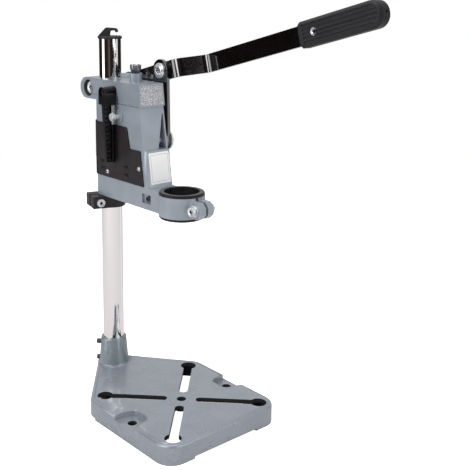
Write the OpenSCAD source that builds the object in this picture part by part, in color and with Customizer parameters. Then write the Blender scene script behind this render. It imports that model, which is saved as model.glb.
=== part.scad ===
// Bench drill stand: cast base, round column, head with a lever, sliding carriage with a drill collar.
// Z points up and X points from the column to the drill axis.
// The origin is on the bench, at the centre of the middle hole, under the drill axis.

/* [Column] */
// Distance from the column axis to the drill axis
throat = 130; // [120:1:150]
// Outer diameter of the column tube
column_d = 25; // [24:0.5:26]
// Wall of the column tube
column_wall = 2; // [1.5:0.25:3]
// Length of the column tube
column_l = 400; // [380:5:460]
// Height of the tube's lower end above the bench
column_foot = 14; // [12:1:16]
// Thickness of the cap's rim
cap_h = 3; // [2:0.5:5]
// Distance from the tube's top down to the head's top
head_drop = 45; // [10:1:70]
// How far the cap's rim stands out past the tube
cap_over = 1.25; // [0.5:0.25:2]
// Depth of the cap's plug inside the tube
cap_plug = 12; // [8:1:20]
// Height of the cable hook over the cap
hook_h = 9.3; // [8:0.1:11]
// Thickness of the hook's curl
hook_t = 3; // [2.4:0.2:3.4]
// Width of the hook's strip
hook_w = 7; // [5:0.5:9]

/* [Base] */
// Front edge of the base, from the drill axis
base_front = 75.5; // [73:0.5:84]
// Where the taper to the column starts, behind the drill axis
base_back = 65; // [60:1:75]
// Half of the base's width
base_half = 78.5; // [75:0.5:84]
// Height of the base's top face
base_h = 22; // [20:1:28]
// Thickness of the base's top plate
plate_t = 5; // [4:0.5:8]
// Thickness of the base's skirt and ribs
base_wall = 4; // [3:0.5:5]
// Radius of the base's front corners
corner_r = 20; // [15:1:23]
// Radius of the base's round tail under the column socket
tail_r = 20; // [20:0.5:24]
// Height of the rounding along the top edge
lip_h = 3.4; // [1.5:0.1:4]
// How far the rounding draws the top face in
lip_in = 3.4; // [1:0.1:3.6]
// Height by which the skirt clears the bench between the feet
foot_lift = 2.5; // [1.5:0.5:4]
// Half length of the raised part of the front skirt
foot_gap = 43.5; // [30:0.5:48]
// Diameter of the middle hole
centre_d = 10.4; // [8:0.2:14]
// Distance of a keyhole's centre from the side of the base
key_side = 18; // [16:0.5:21]
// Distance of a front keyhole's centre from the front of the base
key_front = 15; // [14:0.5:18]
// Distance of a rear keyhole's centre from the start of the taper
key_back = 4.5; // [3:0.5:10]
// Diameter of a keyhole
key_d = 18; // [16:0.5:20]
// Width of a keyhole's slot
slot_w = 10; // [8:0.5:11]
// Distance of the slot's inner end from the middle
slot_in = 16; // [15:0.5:24]
// Wall of the middle hole's low boss under the plate
rim_t = 5; // [4:0.5:6]
// Depth of the ribs and of the low boss under the plate
rib_h = 5; // [4:0.5:8]
// Length of a side pocket at the base's edge
pocket_l = 36; // [32:1:40]
// Depth of a side pocket into the base
pocket_in = 24; // [21:0.5:27]
// Sinking of a pocket's floor below the top face
pocket_sink = 6; // [4:0.5:8]
// Diameter of a bench bolt hole
bolt_hole_d = 10; // [8:0.5:11]
// Distance of a bench bolt hole from the side of the base
bolt_side = 11; // [10:0.5:13]
// Wall of the boss round a bench bolt hole
bolt_boss_t = 3.5; // [3:0.5:4]
// Height of the column socket's top edge
socket_top = 55.5; // [52:0.5:75]
// Radius of the column socket at its foot
socket_foot_r = 17.8; // [17:0.2:19]
// Radius of the column socket near its top
socket_r = 15.2; // [14.8:0.1:17]
// Heights of the two set screws
set_lo = 26.4; // [25:0.2:30]
// Height of the upper set screw
set_hi = 46.8; // [42:0.2:52]
// Thread diameter of the set screws
set_d = 6; // [5:0.5:7]
// How far the set screws stand out of the socket
set_out = 3; // [1:0.5:5]

/* [Carriage] */
// Height of the arm
arm_h = 24; // [22:1:28]
// Height of the carriage
carriage_h = 110.5; // [105:0.5:120]
// Half width of carriage and head
body_half = 16.5; // [16:0.25:18]
// Travel of the carriage under the lever
stroke = 60; // [50:1:62]
// Front of the head and of the upper carriage, from the drill axis
front_gap = 50; // [48:0.5:54]
// How much the front panel slants forward down to the ledge
panel_slant = 7.2; // [4:0.2:9]
// Height of the ledge above the arm's underside
ledge_up = 64; // [60:1:70]
// How far the ledge stands in front of the panel's foot
ledge_out = 3; // [2:0.5:4]
// How much the lower front slants forward down to the arm
label_slant = 6; // [3:0.5:9]
// Rear wall between the column bore and the spring cavity
cavity_rear = 7.5; // [6:0.5:9]
// Thickness of the front wall at the top
front_wall = 5; // [4:0.5:7]
// Thickness of the carriage's top web
web_t = 8; // [6:0.5:10]
// Thickness of the cavity's floor
floor_t = 6; // [5:0.5:8]
// Thickness of the wall on the link's side
side_wall = 4; // [3.5:0.25:6]
// Thickness of the wall above the cover
brow_t = 5; // [4:0.5:7]
// Thickness of the thin front edge beside the gap
edge_t = 1.75; // [1.5:0.25:2.5]
// Width of the front gap at its foot
gap_foot = 10.5; // [6:0.5:11]
// Width of the front gap at its top
gap_top = 1.6; // [1:0.2:3]
// Length of the pocket in the arm's side
arm_pocket_l = 15.2; // [12:0.2:18]
// Height of the pocket in the arm's side
arm_pocket_h = 10.5; // [8:0.5:14]
// Depth of the pocket in the arm's side
arm_pocket_t = 3; // [2:0.5:5]
// Place of the arm's screw behind the drill axis
arm_screw_back = 39.5; // [38:0.5:42]

/* [Cover] */
// Thickness of the cover
cover_t = 1.3; // [1:0.1:2]
// Height of the cover's top edge above the arm's underside
cover_top = 86.5; // [84:0.5:90]
// Height of the cover's lower edge above the arm's underside
cover_low = 24.5; // [24.5:0.5:30]
// Rear end of the cover's tall part, in front of the column axis
cover_step = 55; // [50:0.5:58]

/* [Collar] */
// Neck diameter of the drill that the bushes take
collar_d = 38; // [36:0.5:39]
// Neck diameter that the bare collar takes
collar_big_d = 43; // [42:0.5:44]
// Outer diameter of the collar
collar_out_d = 50; // [49:0.5:56]
// Inset of the collar's faces from the arm's faces
collar_inset = 0.8; // [0.5:0.1:1.5]
// Thickness of a bush's flange
flange_t = 3; // [2:0.25:4]
// Width of the clamp's slit
slit_w = 3; // [1.5:0.25:3.5]
// Half height of a clamp lug, and its reach in front of the screw
lug_r = 8.9; // [8:0.1:10]
// Place of the clamp screw in front of the drill axis
lug_x = 32.3; // [32:0.1:34]
// Half width of the clamp's pair of lugs
lug_half = 9; // [8:0.5:10]
// Thread diameter of the clamp screw
clamp_d = 6; // [5:0.5:7]

/* [Head] */
// Height of the head
head_h = 24.3; // [24:0.1:30]
// How much the head's front slants forward down to the seam
head_slant = 3; // [1:0.5:4]
// Distance from the column axis to the clamp ear's round end
ear_back = 25.5; // [24:0.5:30]
// Depth of the counterbore for the clamp bolt
ear_sink = 6; // [5:0.5:7]
// Thread diameter of the head's clamp bolt
head_bolt_d = 8; // [6:0.5:8]
// Width of the slit in the clamp ear
ear_slit = 2.5; // [2:0.25:4]
// Place of the guide rod in front of the column axis
rod_x = 49; // [47:0.5:51]
// Diameter of the guide rod
rod_d = 8; // [7:0.5:9]
// Diameter of the boss on the head
rod_boss_d = 13.6; // [12:0.2:15]
// Height of the boss on the head
rod_boss_h = 9.5; // [7:0.5:12]
// Height of the crown nut
crown_h = 9.3; // [8:0.1:11]
// Diameter of the crown nut
crown_d = 12.3; // [12:0.1:14]
// Thickness of the plate that carries the spring
plate_washer_t = 2.5; // [2:0.5:4]
// Mean diameter of the return spring
spring_d = 14; // [13:0.25:14.5]
// Wire diameter of the return spring
spring_wire = 1.8; // [1.4:0.1:2]
// Number of coils of the return spring
spring_turns = 10; // [8:1:11]

/* [Depth stop] */
// Place of the sleeve in front of the column axis
sleeve_x = 30; // [28:0.5:32]
// Diameter of the sleeve
sleeve_d = 12; // [11:0.5:13]
// How far the sleeve stands out of the head
sleeve_l = 16.5; // [16:0.5:18]
// Height of the sleeve's axis below the head's top
sleeve_down = 11.3; // [10:0.1:13]
// Thickness of the scale fin
fin_t = 4; // [3:0.25:5]
// Lower end of the fin below the head's top
fin_l = 90; // [86:1:100]
// Diameter of the stop rod
stop_rod_d = 4; // [3:0.25:4.5]
// Clearance between parts that pass each other
pass = 0.3; // [0.25:0.05:0.5]
// Thread diameter of the lock screw
lock_d = 5; // [4.5:0.5:6]
// Height of the lock screw below the carriage's top
lock_down = 13.5; // [13:0.1:15]
// Diameter of the lock screw's head
lock_head_d = 8.5; // [8:0.5:10]

/* [Lever] */
// Distance from the lever pivot to the link bolt
crank = 67; // [62:0.5:70]
// Height of the link bolt above the lever's middle line
crank_up = 1.4; // [0:0.2:2]
// Angle of the lever above level at rest
lever_rise = 15; // [10:1:18]
// Angle that the lever swings down
lever_swing = 54.5; // [40:0.5:56]
// Thickness of the lever and the link bars
bar_t = 4; // [3.5:0.25:4.5]
// Height of the lever bar
bar_h = 20; // [18:0.5:22]
// Radius of the eye at the lever's rear end
eye_r = 12; // [11:0.5:13]
// Distance from the pivot to the first bend
bend_a = 89.8; // [88:0.2:95]
// Length of the slanting part along the lever
bend_run = 13.6; // [10:0.2:18]
// Sideways step of the lever
bend_step = 33.5; // [28:0.5:36]
// Distance from the pivot to the front end of the grip
grip_from = 249; // [220:1:260]
// Length of the grip
grip_l = 101; // [95:1:115]
// Height of the grip
grip_h = 26; // [24:0.5:30]
// Thickness of the grip
grip_t = 15; // [13:0.5:18]
// Length of the link between its two holes
link_l = 76.5; // [75:0.5:78]
// Width of the link at its upper end
link_w = 25; // [22:0.5:26]
// Diameter of the pivot pins
pin_d = 8; // [6:0.5:8]
// Play of the link's lower hole along the link's swing
play_x = 3.4; // [3.4:0.1:4]
// Play of the link's lower hole along the link
play_z = 2.15; // [2.1:0.05:2.4]

/* [Stop ring] */
// Height of the stop ring
ring_h = 14.2; // [12:0.2:16]
// Outer diameter of the stop ring
ring_d = 32; // [31:0.5:36]
// Width of the ring's square block
ring_block_w = 29; // [26:0.5:30]
// Distance of the block's end face from the column axis
ring_block_l = 27; // [26:0.5:29]
// Place of the pinch screw along the block
ring_screw_l = 18.8; // [18:0.2:20]
// Thread diameter of the pinch screw
ring_screw_d = 5; // [4:0.5:6]

/* [Hidden] */
$fn = 64;
GREY = [0.55, 0.58, 0.61];
BLACK = [0.1, 0.1, 0.11];
STEEL = [0.75, 0.76, 0.78];
over = 1;             // overrun of cuts
soft_fn = 32;         // circle steps of rounded outlines
arc_n = 8;            // steps of a rounded corner
fit_c = 0.05;         // radial clearance of a running fit
slide_c = 0.12;       // radial clearance of the carriage on the column
edge_c = 0.8;         // small chamfer
seam = 0.4;           // gap between head and carriage, and carriage and ring
column_r = column_d / 2;
column_top = column_foot + column_l;
bore_r = column_r + fit_c;
head_top = column_top - head_drop;
head_z = head_top - head_h;
carriage_top = head_z - seam;
arm_z = carriage_top - carriage_h;
body_front = -front_gap;
arm_top = arm_z + arm_h;
ledge_z = arm_z + ledge_up;
rod_at = rod_x - throat;
hub_x = -throat + 2.6;            // lever pivot, just in front of the column axis
hub_z = head_top - 6.2;
hub_boss_r = 11;
hub_bolt_deep = 2.6;              // length of the pivot bolt's thread inside the casting
link_gap = 2.9;                   // room for the low bolt head between the head and the link
link_y = body_half + pass + link_gap;
lever_y = link_y + bar_t + pass;
link_top_x = hub_x + crank * cos(lever_rise) - crank_up * sin(lever_rise);
link_top_z = hub_z + crank * sin(lever_rise) + crank_up * cos(lever_rise);
link_tilt = 2.1;                  // the link's foot stands forward by this angle at rest
link_low_z = link_top_z - link_l * cos(link_tilt);
link_off = 3.2;                   // the lower pin stands this far in front of the link's lower centre
low_pin_x = link_top_x + link_l * sin(link_tilt) + link_off;
low_boss_r = 9.5;
low_eye_share = 1;
socket_fillet = 2;
hex_share = 1.1547;               // corner to flat ratio of a hexagon

// Points of a rounded corner at p between the neighbours a and b
function unit(v) = v / norm(v);
function corner(a, p, b, r) =
    let (u = unit(a - p), v = unit(b - p), h = acos(u * v) / 2, c = p + unit(u + v) * r / sin(h),
         s = p + u * r / tan(h), e = p + v * r / tan(h), a0 = atan2(s[1] - c[1], s[0] - c[0]),
         a1 = atan2(e[1] - c[1], e[0] - c[0]), d = a1 - a0, w = d > 180 ? d - 360 : d < -180 ? d + 360 : d)
    r == 0 ? [p] : [for (i = [0:arc_n]) c + r * [cos(a0 + w * i / arc_n), sin(a0 + w * i / arc_n)]];
function rounded(p, r) = let (n = len(p))
    [for (i = [0:n - 1]) each corner(p[(i + n - 1) % n], p[i], p[(i + 1) % n], r[i])];

// Places along the column axis and the axes of screws that lie along Y
module at_column() translate([-throat, 0, 0]) children();
module along_y(x, y, z) translate([x, y, z]) rotate([-90, 0, 0]) children();
// Outline in X and Z, drawn thick along +Y from y
module side_plate(y, t) translate([0, y + t, 0]) rotate([90, 0, 0]) linear_extrude(t) children();
module slot2d(a, b, r) {
    d = b - a;
    translate(a) circle(r);
    translate(b) circle(r);
    translate(a) rotate(atan2(d[1], d[0])) translate([0, -r]) square([norm(d), 2 * r]);
}
module hex_prism(flat, h) cylinder(d = flat * hex_share, h = h, $fn = 6);
// Socket head screw: the head starts at z = 0 and the shank goes down
module socket_screw(d, head_d, head_h, l, key) {
    difference() {
        cylinder(d = head_d, h = head_h);
        translate([0, 0, head_h / 2]) hex_prism(key, head_h);
    }
    translate([0, 0, -l]) cylinder(d = d, h = l + head_h / 4);
}
module nut(d, flat, h) difference() {
    hex_prism(flat, h);
    translate([0, 0, -over]) cylinder(d = d, h = h + 2 * over);
}

/* Base */
// Outline of the base, drawn in by inset
module base_outline(inset) {
    f = base_front - inset;
    w = base_half - inset;
    b = -base_back + inset / 2;
    t = tail_r - inset;
    r = corner_r - inset;
    polygon(rounded([[f, -w], [f, w], [b, w], [-throat, t], [-throat, -t], [b, -w]],
        [r, r, r, 0, 0, r]));
    at_column() circle(t);
}
module keyhole2d(grow) for (x = [base_front - key_front, key_back - base_back], y = [-1, 1])
    let (p = [x, y * (base_half - key_side)]) rotate(atan2(p[1], p[0])) {
        translate([norm(p), 0]) circle(d = key_d + 2 * grow);
        slot2d([slot_in + slot_w / 2, 0], [norm(p), 0], slot_w / 2 + grow);
    }
// Side pocket seen from above, at the +Y edge
module pocket2d(grow) {
    h = pocket_l / 2 + grow;
    n = pocket_l / 3 + grow;
    y = base_half - pocket_in - grow;
    polygon(rounded([[-h, base_half + over], [-n, y], [n, y], [h, base_half + over]],
        [0, pocket_in / 3, pocket_in / 3, 0]));
}
foot_run = 10;            // how far the cleared part of the skirt runs past the taper
module both_sides() for (m = [0, 1]) mirror([0, m, 0]) children();
module under_ribs() {
    for (i = [0:3]) rotate(90 * i)
        translate([0, -base_wall / 2, 0]) cube([2 * base_half, base_wall, base_h]);
    translate([-throat, -base_wall / 2, 0]) cube([throat, base_wall, base_h]);
    for (i = [-1, 1]) at_column() rotate(i * atan2(base_half, throat - base_back))
        translate([0, -base_wall / 2, 0]) cube([throat - base_back, base_wall, base_h]);
}
module base_solids() {
    translate([0, 0, base_h - plate_t - rib_h]) cylinder(d = centre_d + 2 * rim_t, h = rib_h + over);
    both_sides() {
        translate([0, 0, base_h - pocket_sink - plate_t]) linear_extrude(base_h) pocket2d(base_wall);
        translate([0, base_half - bolt_side, 0]) cylinder(d = bolt_hole_d + 2 * bolt_boss_t, h = base_h);
    }
    at_column() cylinder(r = socket_foot_r, h = base_h);
}
module base_casting() color(GREY) difference() {
    union() {
        // plate and skirt with a rounded top edge
        hull() for (a = [0:30:90])
            linear_extrude(base_h - lip_h * (1 - sin(a))) base_outline(lip_in * (1 - cos(a)));
        at_column() rotate_extrude() polygon(concat([[0, 0], [socket_r, 0]],
            [for (a = [0:15:90]) [socket_foot_r + socket_fillet * (1 - sin(a)),
                base_h + socket_fillet * (1 - cos(a))]],
            [[socket_r, socket_top - edge_c], [socket_r - edge_c, socket_top], [0, socket_top]]));
    }
    difference() {
        translate([0, 0, -over]) linear_extrude(base_h - plate_t + over) base_outline(base_wall);
        base_solids();
        translate([0, 0, base_h - plate_t - rib_h]) under_ribs();
    }
    // the skirt clears the bench at the front and along the taper
    translate([base_front - 2 * base_wall, -foot_gap, -over])
        cube([3 * base_wall, 2 * foot_gap, foot_lift + over]);
    translate([-throat + tail_r, -2 * base_half, -over])
        cube([throat - base_back - tail_r + foot_run, 4 * base_half, foot_lift + over]);
    translate([0, 0, -over]) linear_extrude(base_h + 2 * over) keyhole2d(0);
    translate([0, 0, -over]) cylinder(d = centre_d, h = base_h + 2 * over);
    both_sides() {
        translate([0, 0, base_h - pocket_sink]) linear_extrude(base_h) pocket2d(0);
        translate([0, base_half - bolt_side, -over]) cylinder(d = bolt_hole_d, h = base_h);
    }
    at_column() {
        translate([0, 0, column_foot]) cylinder(r = column_r + fit_c, h = socket_top);
        for (z = [set_lo, set_hi]) translate([0, 0, z]) rotate([0, 90, 225])
            cylinder(d = set_d, h = 2 * socket_foot_r);
    }
}
module socket_set_screws() color(STEEL) at_column()
    for (z = [set_lo, set_hi]) translate([0, 0, z]) rotate([0, 90, 225]) difference() {
        translate([0, 0, column_r + fit_c])
            cylinder(d = set_d, h = socket_foot_r + set_out - column_r - fit_c);
        translate([0, 0, socket_foot_r]) hex_prism(set_d / 2, 2 * set_out);
    }

/* Column */
module column_tube() color(STEEL) at_column() difference() {
    translate([0, 0, column_foot]) cylinder(r = column_r, h = column_l);
    translate([0, 0, column_foot - over]) cylinder(r = column_r - column_wall, h = column_l + 2 * over);
}
module column_cap() color(BLACK) at_column() {
    rim = column_r + cap_over;
    rotate_extrude() polygon([[0, column_top], [rim, column_top], [rim, column_top + cap_h - edge_c],
        [rim - edge_c, column_top + cap_h], [0, column_top + cap_h]]);
    translate([0, 0, column_top - cap_plug]) cylinder(r = column_r - column_wall - fit_c,
        h = cap_plug + cap_h / 2);
    // hook that rises slantwise from a broad foot on the rim and curls to the other side
    z = column_top + cap_h / 2;
    t = column_top + cap_h + hook_h;
    rotate(hook_turn) translate([0, hook_w / 2, 0]) rotate([90, 0, 0]) linear_extrude(hook_w)
        polygon(rounded([[edge_c - rim, z], [edge_c - rim, z + cap_h / 2], [hook_lean - rim, t],
            [hook_end, t - hook_t / 4], [hook_end, t - hook_t * 5 / 3], [hook_end - hook_t * 2 / 3,
                t - hook_t * 5 / 3],
            [hook_end - hook_t, t - hook_t], [hook_in, t - hook_t * 7 / 6], [hook_in - edge_c, z]],
            [0, edge_c, 2 * edge_c, hook_t, 0, 0, edge_c / 2, 3 * edge_c, 0]));
}
hook_lean = 9.4;         // how far the hook's back leans over from the rim
hook_end = 9;            // place of the hook's tip, from the column axis
hook_in = 0.4;           // place of the curl's inner face
hook_turn = 45;          // direction in which the hook opens

/* Head */
ear_x = -throat - ear_back;
ear_r = head_h / 2;
ear_z = head_z + ear_r;
ear_bolt_x = ear_x + ear_r / 3;
counter_d = 19;                  // counterbore for the clamp bolt
head_bolt_h = head_bolt_d * 0.35; // height of the clamp bolt's low head, under its flush face
head_bolt_head_d = 14;
sleeve_at = sleeve_x - throat;
sleeve_z = head_top - sleeve_down;
stop_screw_d = 5;
stop_screw_deep = 9;
module head_block() color(GREY) difference() {
    union() {
        side_plate(-body_half, 2 * body_half) polygon([[-throat, head_z], [body_front, head_z],
            [body_front - head_slant, head_top], [-throat, head_top]]);
        at_column() translate([0, 0, head_z]) cylinder(r = body_half, h = head_h);
        side_plate(-body_half, 2 * body_half) {
            translate([ear_x, head_z]) square([ear_back, head_h]);
            translate([ear_x, ear_z]) circle(ear_r);
        }
        translate([rod_at, 0, head_top - over]) cylinder(d = rod_boss_d, h = rod_boss_h + over);
        along_y(hub_x, 0, hub_z) cylinder(r = hub_boss_r, h = lever_y - pass);
    }
    at_column() translate([0, 0, head_z - over]) cylinder(r = bore_r, h = head_h + hub_boss_r);
    // clamp slit from the bore to the rear
    translate([ear_x - 2 * ear_r, -ear_slit / 2, head_z - over])
        cube([ear_back + 2 * ear_r, ear_slit, head_h + 2 * over]);
    along_y(ear_bolt_x, -body_half - over, ear_z) {
        cylinder(d = head_bolt_d, h = 2 * body_half + 2 * over);
        cylinder(d = counter_d, h = ear_sink + over);
    }
    along_y(ear_bolt_x, body_half - ear_sink / 2, ear_z) rotate(30)
        hex_prism(head_bolt_nut, ear_sink);
    translate([rod_at, 0, head_z - over]) cylinder(d = rod_d, h = head_h + rod_boss_h + 2 * over);
    along_y(sleeve_at, -body_half - over, sleeve_z) cylinder(d = stop_screw_d, h = stop_screw_deep + over);
    along_y(hub_x, bore_r + hub_wall, hub_z) cylinder(d = pin_d, h = lever_y);
}
head_bolt_nut = 13;              // width across flats of the clamp nut
hub_wall = 1;                    // metal left between the column bore and the pivot bolt
module head_clamp_bolt() color(STEEL)
    along_y(ear_bolt_x, -body_half + ear_sink, ear_z) mirror([0, 0, 1])
        socket_screw(head_bolt_d, head_bolt_head_d, head_bolt_h, 2 * body_half - ear_sink - edge_c,
            head_bolt_d * 0.6);
module head_clamp_nut() color(STEEL)
    along_y(ear_bolt_x, body_half - ear_sink / 2, ear_z) rotate(30) nut(head_bolt_d,
        head_bolt_nut - pass, head_bolt_h * 2);

/* Guide rod and spring */
cavity_z = arm_z + floor_t;
cavity_top = carriage_top - web_t;
rod_gap = 3;                     // room between the rod's foot and the cavity's floor
rod_low = cavity_z + rod_gap;
rod_nut_h = 5;
rod_nut_flat = 13;
plate_washer_z = rod_low + edge_c + rod_nut_h;
spring_z = plate_washer_z + plate_washer_t;
crown_z = head_top + rod_boss_h;
module guide_rod() color(STEEL) translate([rod_at, 0, rod_low])
    cylinder(d = rod_d, h = crown_z + crown_h - edge_c - rod_low);
// Crown nut: a plain neck and a slotted crown
module crown_nut() color(STEEL) translate([rod_at, 0, crown_z]) difference() {
    union() {
        cylinder(d = crown_d - 2 * edge_c, h = crown_h / 2);
        translate([0, 0, crown_neck_share * crown_h]) cylinder(d = crown_d,
            h = crown_h * (1 - crown_neck_share));
    }
    translate([0, 0, -over]) cylinder(d = rod_d, h = crown_h + 2 * over);
    for (i = [0:crown_slots - 1]) rotate(i * 360 / crown_slots)
        translate([rod_d / 2 - over / 2, -crown_slot_w / 2, crown_h * (1 - crown_neck_share)])
            cube([crown_d, crown_slot_w, crown_h]);
}
crown_neck_share = 0.42;
crown_slots = 8;
crown_slot_w = 2.2;
module spring_plate() color(STEEL) translate([rod_at, 0, plate_washer_z]) difference() {
    cylinder(d = spring_d + spring_wire + edge_c, h = plate_washer_t);
    translate([0, 0, -over]) cylinder(d = rod_d, h = plate_washer_t + 2 * over);
}
module rod_nut() color(STEEL) translate([rod_at, 0, rod_low + edge_c]) nut(rod_d, rod_nut_flat, rod_nut_h);
// Wound tube of the spring: rings of points on a helix, with its least gap printed
spring_rings = 8;
spring_sides = 6;
spring_span = cavity_top - spring_z - spring_wire;
spring_n = spring_turns * spring_rings;
function helix(i) = let (a = i * 360 / spring_rings)
    [spring_d / 2 * cos(a), spring_d / 2 * sin(a), spring_wire / 2 + spring_span * i / spring_n];
function helix_dir(i) = unit(helix(i + 0.5) - helix(i - 0.5));
function wire_ring(i) = let (a = i * 360 / spring_rings, c = helix(i), n = [cos(a), sin(a), 0],
    b = cross(helix_dir(i), n)) [for (k = [0:spring_sides - 1]) let (t = 360 * k / spring_sides)
    c + spring_wire / 2 * (cos(t) * n + sin(t) * b)];
function ring_faces(n, m) = [for (i = [0:n - 1], k = [0:m - 1]) let (a = i * m + k, b = i * m + (k + 1) % m)
    each [[a, b, b + m], [a, b + m, a + m]]];
echo(spring_least_gap = min([for (i = [0:spring_n - spring_rings])
    norm(helix(i + spring_rings) - helix(i))]) - spring_wire);
module return_spring() color(STEEL) translate([rod_at, 0, spring_z])
    polyhedron(points = [for (i = [0:spring_n]) each wire_ring(i)],
        faces = concat([[for (k = [spring_sides - 1:-1:0]) k]], ring_faces(spring_n, spring_sides),
            [[for (k = [0:spring_sides - 1]) spring_n * spring_sides + k]]));

/* Carriage */
cavity_back = -throat + column_r + cavity_rear;
cavity_front_in = 3;
cavity_front = body_front - front_wall - cavity_front_in;
panel_top_in = 2.6;              // the panel's top edge lies behind the head's front by this
ledge_front = body_front - panel_top_in + panel_slant + ledge_out;
panel_foot = body_front - panel_top_in + panel_slant;
label_foot = ledge_front + label_slant;
lock_x = rod_at - 8;
lock_z = carriage_top - lock_down;
lock_boss_d = 14;
lock_boss_h = 1.6;
lower_edge_in = 7;               // how far the lower front's edge is drawn back at the ledge, half as far below
lower_edge_w = 2.5;              // width of the drawn-back edge along Y
module carriage_casting() color(GREY) difference() {
    union() {
        // upper body with the slanting front panel
        side_plate(-body_half, 2 * body_half) polygon([[-throat, arm_z], [panel_foot, arm_z],
            [panel_foot, ledge_z], [body_front - panel_top_in, carriage_top], [-throat, carriage_top]]);
        at_column() translate([0, 0, arm_z]) cylinder(r = body_half, h = carriage_h);
        // lower front with its ledge, the label face and the drawn-back edge on the cover's side
        hull() {
            side_plate(-body_half + lower_edge_w, 2 * body_half - lower_edge_w) lower_front2d(0);
            side_plate(-body_half, 2 * lower_edge_w) lower_front2d(lower_edge_in);
        }
        // arm and collar
        translate([panel_foot - over, -body_half, arm_z]) cube([-panel_foot + over, 2 * body_half, arm_h]);
        translate([0, 0, arm_z + collar_inset]) cylinder(d = collar_out_d, h = arm_h - 2 * collar_inset);
        side_plate(-lug_half, 2 * lug_half) {
            translate([lug_x, arm_z + arm_h / 2]) polygon([[-lug_x, -lug_r], [lug_r * lug_flat, -lug_r],
                [lug_r, -lug_r * lug_flat], [lug_r, lug_r * lug_flat], [lug_r * lug_flat, lug_r],
                    [-lug_x, lug_r]]);
        }
        // bosses of the lock screw and the lower link pivot
        along_y(lock_x, -body_half - lock_boss_h, lock_z) cylinder(d = lock_boss_d, h = lock_boss_h + over);
        along_y(low_pin_x, 0, link_low_z) cylinder(r = low_boss_r, h = link_y - pass);
    }
    at_column() translate([0, 0, arm_z - over]) cylinder(r = column_r + slide_c, h = carriage_h + 2 * over);
    // spring cavity, open to the side under the cover
    translate([cavity_back, -body_half + brow_t, cavity_z])
        cube([cavity_front - cavity_back, 2 * body_half - brow_t - side_wall, cavity_top - cavity_z]);
    intersection() {
        side_plate(-2 * body_half, 2 * body_half) cover2d(base_rest);
        translate([cavity_back, -2 * body_half, cavity_z])
            cube([cavity_front - cavity_back, 2 * body_half, cavity_top - cavity_z]);
    }
    translate([rod_at, 0, cavity_top - over]) cylinder(d = rod_d + 2 * slide_c, h = web_t + 2 * over);
    // open gap beside the front panel, wider towards the ledge
    translate([panel_foot - front_wall * 3, 0, 0]) rotate([90, 0, 90]) linear_extrude(front_wall * 5)
        polygon([[body_half - edge_t - gap_foot, ledge_z], [body_half - edge_t, ledge_z],
            [body_half - edge_t, cavity_top - over], [body_half - edge_t - gap_top, cavity_top - over]]);
    translate([0, 0, arm_z - over]) cylinder(d = collar_big_d, h = arm_h + 2 * over);
    // seats of the bush flanges
    for (z = [arm_z - over, arm_top - collar_inset]) translate([0, 0, z])
        cylinder(r = flange_r + pass, h = over + collar_inset);
    translate([0, -slit_w / 2, arm_z - over]) cube([2 * lug_x, slit_w, arm_h + 2 * over]);
    along_y(lug_x, -2 * lug_half, arm_z + arm_h / 2) cylinder(d = clamp_d, h = 4 * lug_half);
    // pocket and screw hole in the arm's side
    translate([-arm_screw_back - arm_pocket_back, -body_half - over, arm_z + (arm_h - arm_pocket_h) / 2])
        cube([arm_pocket_l, arm_pocket_t + over, arm_pocket_h]);
    along_y(-arm_screw_back, -body_half, arm_z + arm_h / 2) cylinder(d = arm_screw_d, h = body_half);
    along_y(lock_x, -2 * body_half, lock_z) cylinder(d = lock_d, h = body_half + brow_t + over);
    along_y(low_pin_x, body_half - pin_deep, link_low_z) cylinder(d = pin_d, h = 2 * body_half);
    for (p = cover_screw_at) along_y(p[0], -body_half - over, p[1])
        cylinder(d = cover_screw_d, h = cover_screw_l + over);
}
module lower_front2d(inset) polygon([[panel_foot - 2 * body_half, arm_z], [label_foot - inset / 2, arm_z],
    [label_foot - inset / 2, arm_top], [ledge_front - inset, ledge_z], [panel_foot - 2 * body_half,
        ledge_z]]);
base_rest = 2;                   // rest of the cover's edge on the casting
arm_pocket_back = 8.8;
lug_flat = 0.42;                 // flat share of a lug's chamfered end
arm_screw_d = 4;
arm_screw_head = 6.4;
pin_deep = 10;                   // length of the lower pin inside the casting
cover_screw_d = 3;
cover_screw_l = 5;
cover_screw_head = 5.4;
cover_edge_x = ledge_front - lower_edge_in - base_rest / 2;
cover_screw_rear = 17.8;         // place of the rear screw in front of the column axis
cover_screw_low = 30.6;          // heights of the cover's screws above the arm's underside
cover_screw_high = 43.5;
cover_screw_in = 1.8;            // distance of the front screw from the cover's front edge
cover_screw_at = [[cover_screw_rear - throat, arm_z + cover_screw_low],
    [cover_edge_x - cover_screw_in, arm_z + cover_screw_high]];

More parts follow.
